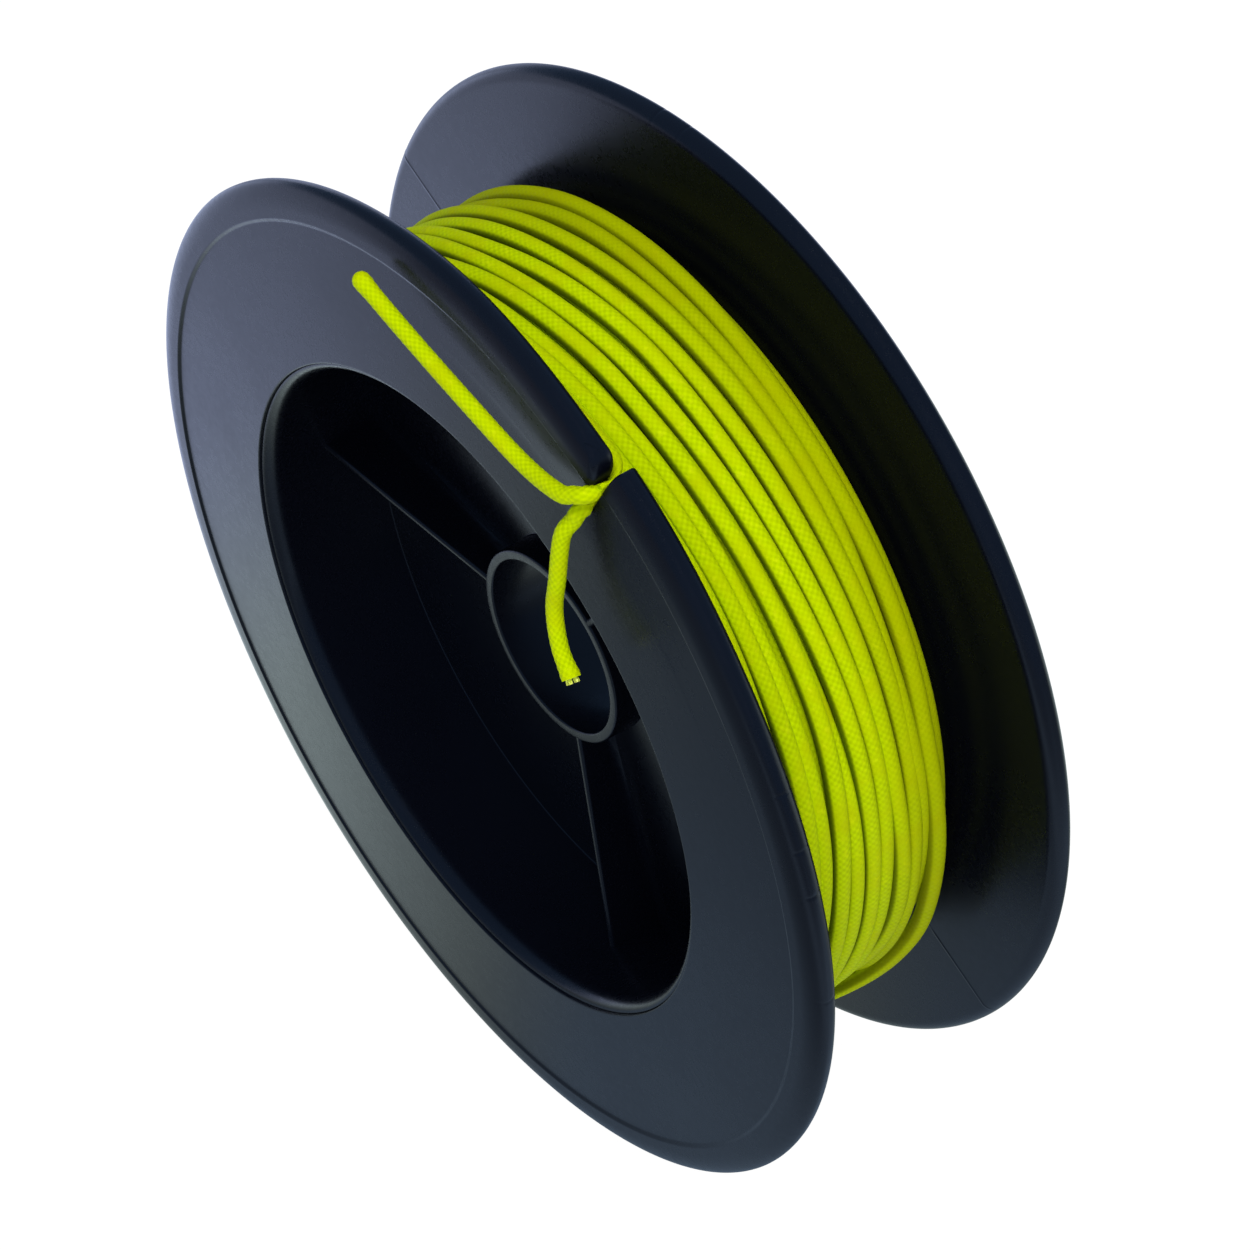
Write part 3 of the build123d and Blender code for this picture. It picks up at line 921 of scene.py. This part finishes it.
def yarn_core(side, path, proud):
    """Straight yarns inside the braid, fanned out where they stand proud of it."""
    forward = unit(path[-1] - path[-2])
    beyond = path[-1] + forward * np.linspace(0.15, max(proud, 0.16), 4)[:, None]
    stop = len(path) - (0 if proud else 10)
    middle = np.concatenate([path[12:stop:6], beyond]) if proud else path[12:stop:6]
    frames = carried_frames(middle, (0, 1, 0))
    length = along_curve(middle)
    shapes = []
    count = 9
    yarn_radius = 0.13
    for index in range(count):
        angle = TURN * index / count + random.uniform(-0.3, 0.3)
        fan = 0.3 + (0.25 * smooth(length, length[-1] - 1.2, length[-1]) if proud else 0)
        offset = np.cos(angle) * frames[0] + np.sin(angle) * frames[1]
        shapes.append(middle + np.reshape(fan, (-1, 1)) * offset)
    around = TURN * np.linspace(0, 1, 6, endpoint=False)
    all_points, all_quads, first = [], [], 0
    for shape in shapes:
        left, right = carried_frames(shape, (0, 1, 0))
        sideways = np.cos(around)[None, :, None] * left[:, None]
        upward = np.sin(around)[None, :, None] * right[:, None]
        all_points.append((shape[:, None] + yarn_radius * (sideways + upward)).reshape(-1, 3))
        quads, _, _ = grid_quads(len(shape), 6, close_columns=True)
        all_quads.append(quads + first)
        first += len(all_points[-1])
    points, quads = np.concatenate(all_points), np.concatenate(all_quads)
    piece = make_object(f"{side}_tail_yarns", points, quads, yarn_material)
    close_ends(piece)
    bend_with_joint(piece)
    return finish_piece(piece, None, "core_yarn", f"{side}_tail_core")


yarn_core("long", long_tail, 0)
yarn_core("short", short_tail, 0.5)


# ======== Floor, light and camera ========
def floor():
    """A pale card large enough to fill every view, just under the rims."""
    size = 6000.0
    share = np.linspace(-1, 1, 13)
    across, away = np.meshgrid(share * size, share * size)
    bottom = cad_bounds[0].z / MM - 0.02
    points = np.stack([across.ravel(), away.ravel(), np.full(across.size, bottom)], axis=-1)
    quads, _, _ = grid_quads(len(share), len(share))
    card = make_object("floor", points, quads, table_top())


def lamp(name, place, size, power):
    """A soft square light pointing at the spool, not mirrored in the plastic."""
    light = bpy.data.lights.new(name, "AREA")
    light.size = size
    light.energy = power
    made = bpy.data.objects.new(name, light)
    made.location = place
    made.rotation_euler = (-Vector(place)).to_track_quat("-Z", "Y").to_euler()
    made.visible_glossy = False
    bpy.context.scene.collection.objects.link(made)


def surroundings(seen, lit, mirrored):
    """White all round where it is seen, dimmer where it lights, and bluish where it is mirrored."""
    world = bpy.data.worlds.new("white_room")
    bpy.context.scene.world = world
    world.use_nodes = True
    tree = world.node_tree
    background = tree.nodes["Background"]
    path = tree.nodes.new("ShaderNodeLightPath")
    strength = lit
    for ray, level in (("Is Glossy Ray", mirrored), ("Is Camera Ray", seen)):
        choice = tree.nodes.new("ShaderNodeMix")
        tree.links.new(path.outputs[ray], choice.inputs["Factor"])
        choice.inputs[3].default_value = level
        if hasattr(strength, "is_output"):
            tree.links.new(strength, choice.inputs[2])
        else:
            choice.inputs[2].default_value = strength
        strength = choice.outputs[0]
    tree.links.new(strength, background.inputs["Strength"])
    colour = tree.nodes.new("ShaderNodeMix")
    colour.data_type = "RGBA"
    tree.links.new(path.outputs["Is Glossy Ray"], colour.inputs["Factor"])
    colour.inputs[6].default_value = (1, 1, 1, 1)
    colour.inputs[7].default_value = rgb(150, 195, 255)
    tree.links.new(colour.outputs[2], background.inputs["Color"])


def camera():
    """In front and to the right of the spool, looking down at the slit side."""
    lens = bpy.data.cameras.new("camera")
    lens.lens = 89.7
    lens.sensor_width = 36.0
    lens.clip_start = 0.01
    made = bpy.data.objects.new("camera", lens)
    made.location = (0.17676, -0.13269, 0.23564)
    made.rotation_euler = [math.radians(a) for a in (43.20, 0.0, 52.06)]
    bpy.context.scene.collection.objects.link(made)
    bpy.context.scene.camera = made


floor()
surroundings(1.0, 0.13, 0.3)
lamp("key", (0.2, -0.12, 1.0), 0.5, 7.5)
lamp("fill", (0.75, -0.55, 0.6), 0.8, 6)
camera()
bpy.context.scene.view_settings.view_transform = "Standard"
